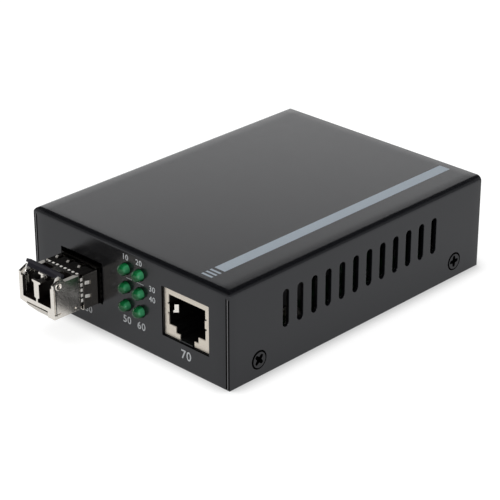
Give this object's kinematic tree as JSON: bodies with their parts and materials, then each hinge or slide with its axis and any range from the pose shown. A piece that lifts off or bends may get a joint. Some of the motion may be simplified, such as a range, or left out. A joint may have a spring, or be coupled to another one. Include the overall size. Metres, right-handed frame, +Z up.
{
  "type": "fibre media converter",
  "caption": "Small stand-alone box that joins a copper network cable to a pair of optical fibres through a pluggable module.",
  "frame": {"origin": "middle of the case footprint on the surface it stands on", "axes": "+X to the right along the front panel, +Y from the front panel to the back, +Z up"},
  "size_m": [0.071, 0.1111, 0.0265],
  "materials": {
    "case_paint": "fine textured black powder coat",
    "screw_black": "black oxide",
    "post_steel": "zinc plated",
    "board_laminate": "solder mask",
    "socket_shield": "nickel plated",
    "socket_plastic": "moulded",
    "contact_gold": "gold plated",
    "lamp_green": "tinted clear lens",
    "holder_black": "moulded",
    "lead_tin": "tinned",
    "cage_steel": "nickel plated",
    "jack_plastic": "moulded",
    "chip_epoxy": "moulded",
    "can_aluminium": "drawn can",
    "ferrite": "pressed",
    "module_zinc": "plated die casting",
    "module_steel": "plated sheet",
    "optic_ceramic": "ceramic",
    "handle_black": "moulded"
  },
  "bodies": {
    "case": {"top_cover": "case_paint", "base_tray": "case_paint", "cover_screws": "screw_black", "pcb_standoffs": "post_steel", "pcb_screws": "post_steel", "circuit_board": "board_laminate", "rj45_shield": "socket_shield", "rj45_body": "socket_plastic", "rj45_contacts": "contact_gold", "led_left_bottom": "lamp_green", "led_left_middle": "lamp_green", "led_left_top": "lamp_green", "led_right_bottom": "lamp_green", "led_right_middle": "lamp_green", "led_right_top": "lamp_green", "led_holder_left": "holder_black", "led_holder_right": "holder_black", "led_leads": "lead_tin", "sfp_cage": "cage_steel", "cage_spring_collar": "cage_steel", "sfp_host_connector": "socket_plastic", "sfp_connector_contacts": "contact_gold", "dc_jack_body": "jack_plastic", "dc_jack_pin": "lead_tin", "dc_jack_spring": "lead_tin", "converter_chip": "chip_epoxy", "memory_chip": "chip_epoxy", "magnetics": "chip_epoxy", "clock_crystal": "can_aluminium", "voltage_regulator": "chip_epoxy", "power_inductor": "ferrite", "filter_capacitor_large": "can_aluminium", "filter_capacitor_small": "can_aluminium", "input_fuse": "chip_epoxy", "small_parts": "chip_epoxy"},
    "module": {"module_housing": "module_zinc", "module_cover": "module_steel", "module_spring_collar": "module_steel", "module_board": "board_laminate", "module_chip": "chip_epoxy", "transmitter": "optic_ceramic", "receiver": "optic_ceramic"},
    "bale": {"bale_handle": "handle_black", "bale_axle": "screw_black"},
    "latch": {"latch_lever": "module_steel"}
  },
  "joints": [
    {"name": "module_slide", "type": "slide", "parent": "case", "child": "module", "axis": [0, -1, 0], "range_m": [0, 0.05]},
    {"name": "bale_hinge", "type": "hinge", "parent": "module", "child": "bale", "pos_m": [-0.01735, -0.0614, 0.0169], "axis": [1, 0, 0], "range_deg": [0, 90]},
    {"name": "latch_pivot", "type": "hinge", "parent": "module", "child": "latch", "pos_m": [-0.01735, -0.0563, 0.009], "axis": [1, 0, 0], "range_deg": [0, 5.5], "stiffness_Nm_per_rad": 0.0001, "springref_deg": -5.73}
  ],
  "couplings": [
    {"joint": "latch_pivot", "follows": "bale_hinge", "ratio": 0.061}
  ]
}
